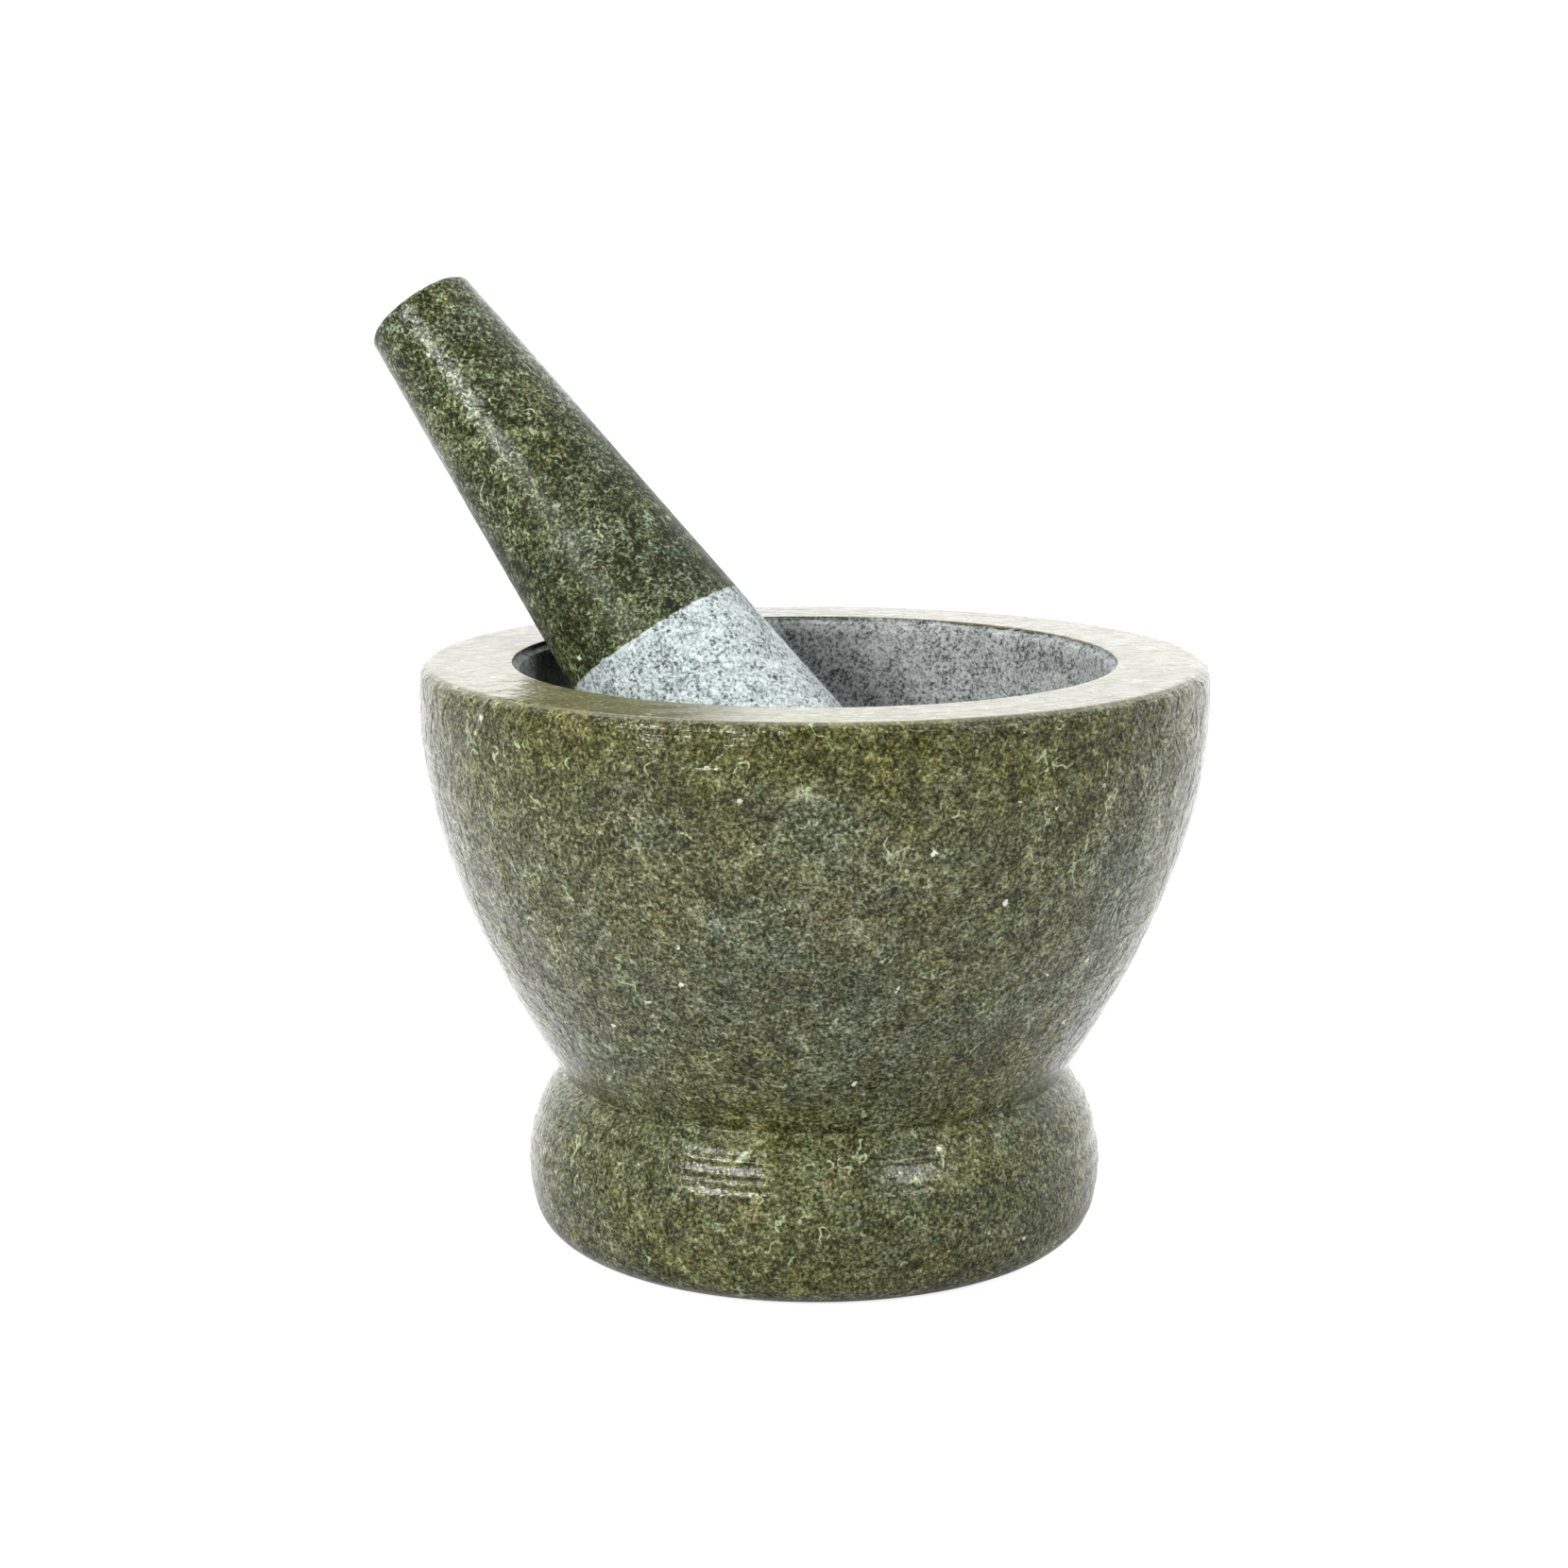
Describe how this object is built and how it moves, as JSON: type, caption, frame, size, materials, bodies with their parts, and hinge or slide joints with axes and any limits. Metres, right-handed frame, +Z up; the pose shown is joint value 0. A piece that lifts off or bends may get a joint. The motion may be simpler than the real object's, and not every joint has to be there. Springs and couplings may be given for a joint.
{
  "type": "mortar and pestle",
  "caption": "Stone mortar and pestle: a deep round bowl on a flared ring foot, with a loose tapered pestle leaning on its rim.",
  "frame": {"origin": "centre of the mortar's flat underside", "axes": "+Z up along the mortar's turning axis, +X to the right and -Y towards the viewer; the pestle's handle leans towards -X and +Y"},
  "size_m": [0.1627, 0.1502, 0.182],
  "materials": {
    "mortar_stone": "gloss",
    "pestle_stone": "gloss"
  },
  "bodies": {
    "mortar": {"mortar": "mortar_stone"},
    "pestle": {"pestle": "pestle_stone"}
  },
  "joints": [
    {"name": "pestle_lift", "type": "slide", "parent": "mortar", "child": "pestle", "axis": [0, 0, 1], "range_m": [0, 0.13]}
  ]
}
